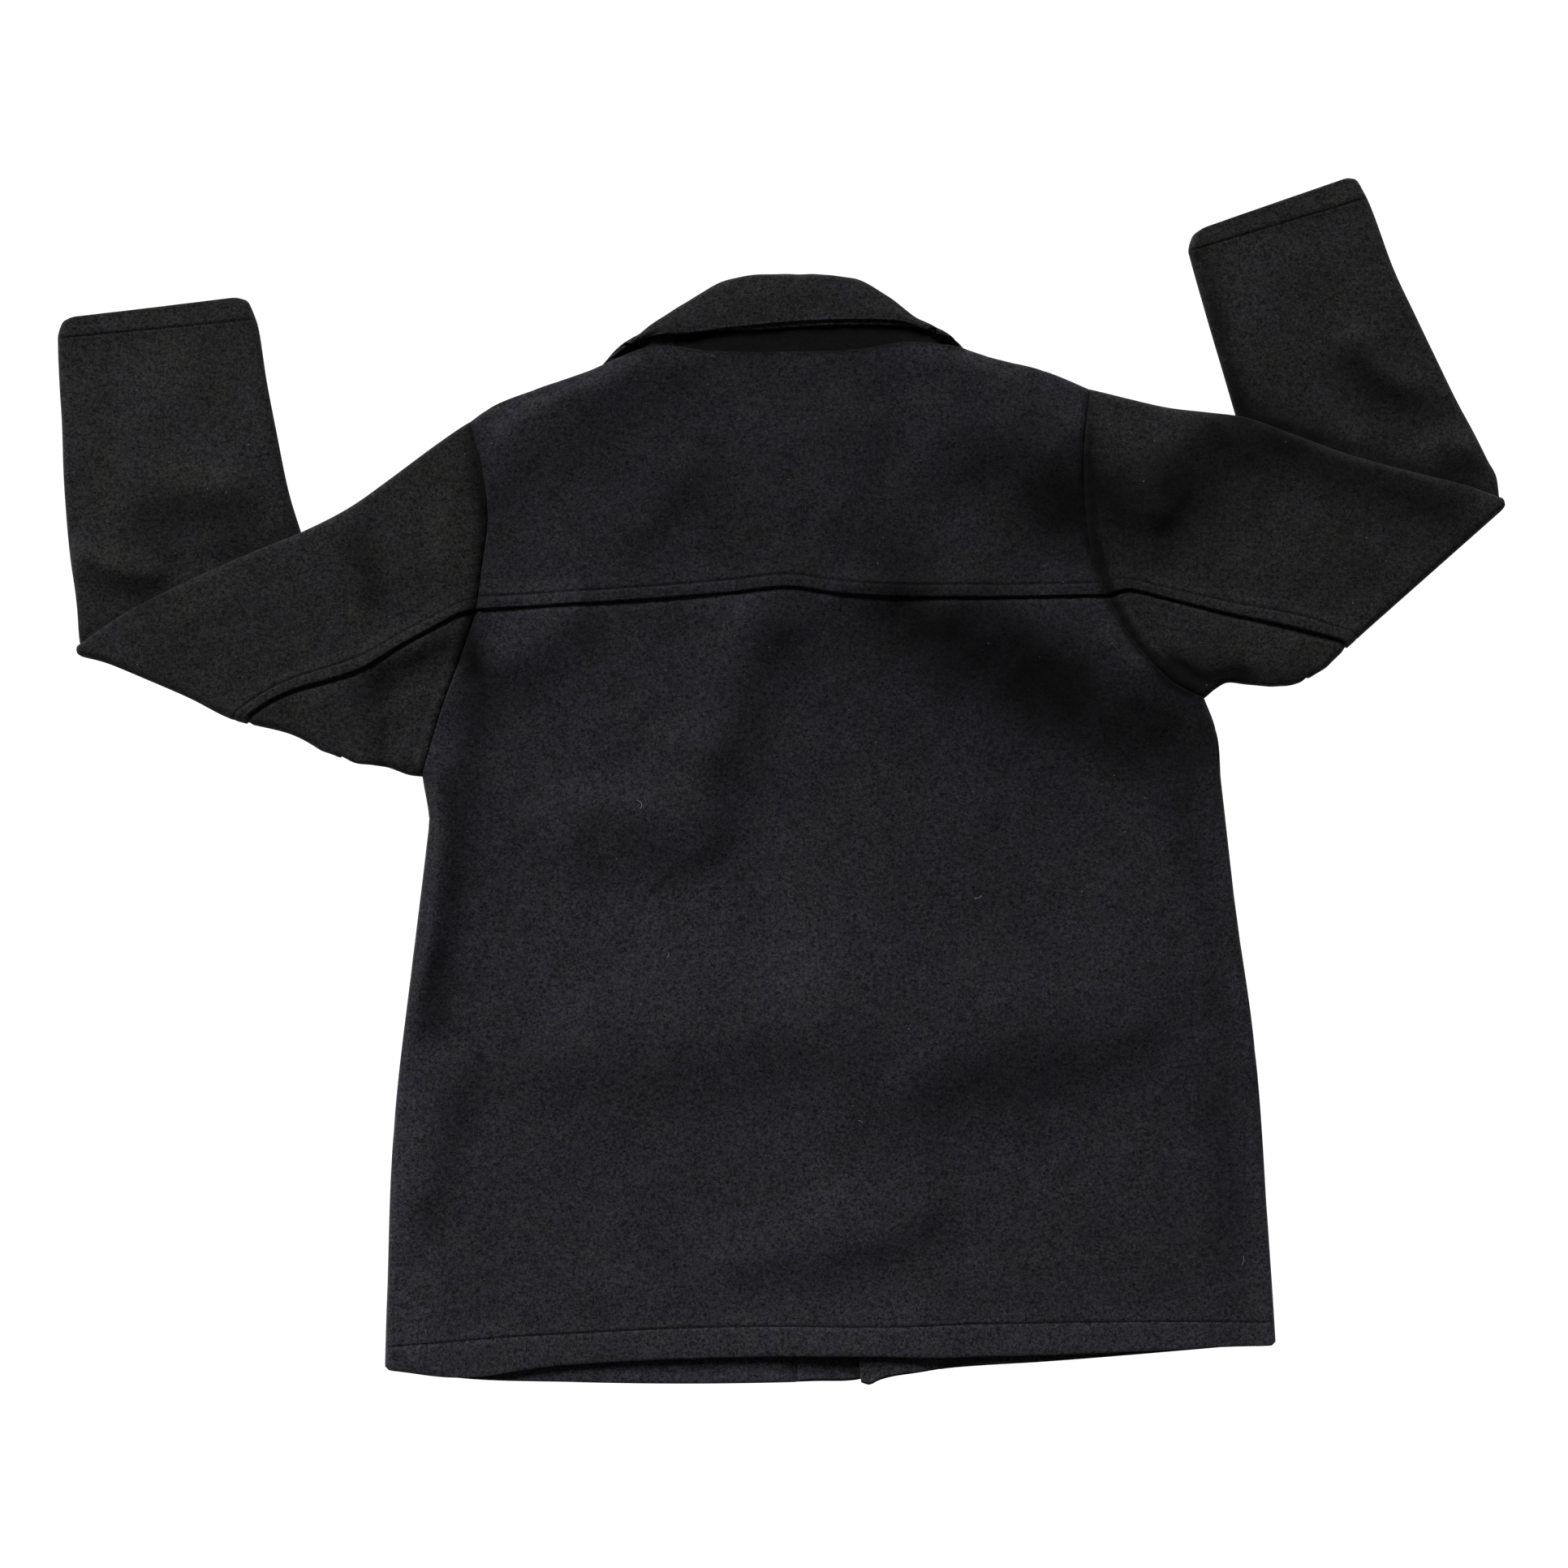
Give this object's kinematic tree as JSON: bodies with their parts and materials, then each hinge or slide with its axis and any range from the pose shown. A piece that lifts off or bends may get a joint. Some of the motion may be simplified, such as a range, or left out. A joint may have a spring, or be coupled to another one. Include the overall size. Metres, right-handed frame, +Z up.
{
  "type": "field jacket",
  "caption": "Black wool field jacket lying face down: yoked back, turn-down collar, two-piece sleeves folded under themselves at the elbow.",
  "frame": {"origin": "on the surface that the jacket lies on, under the middle of its outline", "axes": "+Z up from the surface, out of the jacket's back; +Y towards the collar; +X to the right as seen from above, the wearer's right"},
  "size_m": [1.1087, 0.925, 0.0197],
  "materials": {
    "wool": "matt black milled wool with a short nap",
    "buttons": "dark horn, satin"
  },
  "bodies": {
    "root": {"back": "wool", "back_yoke": "wool", "front_left": "wool", "front_right": "wool", "facing_left": "wool", "facing_right": "wool", "sleeve_left_top": "wool", "sleeve_left_under": "wool", "sleeve_right_top": "wool", "sleeve_right_under": "wool", "collar_top": "wool", "collar_under": "wool", "button_1": "buttons", "button_2": "buttons", "button_3": "buttons", "button_4": "buttons", "button_5": "buttons"}
  },
  "joints": []
}
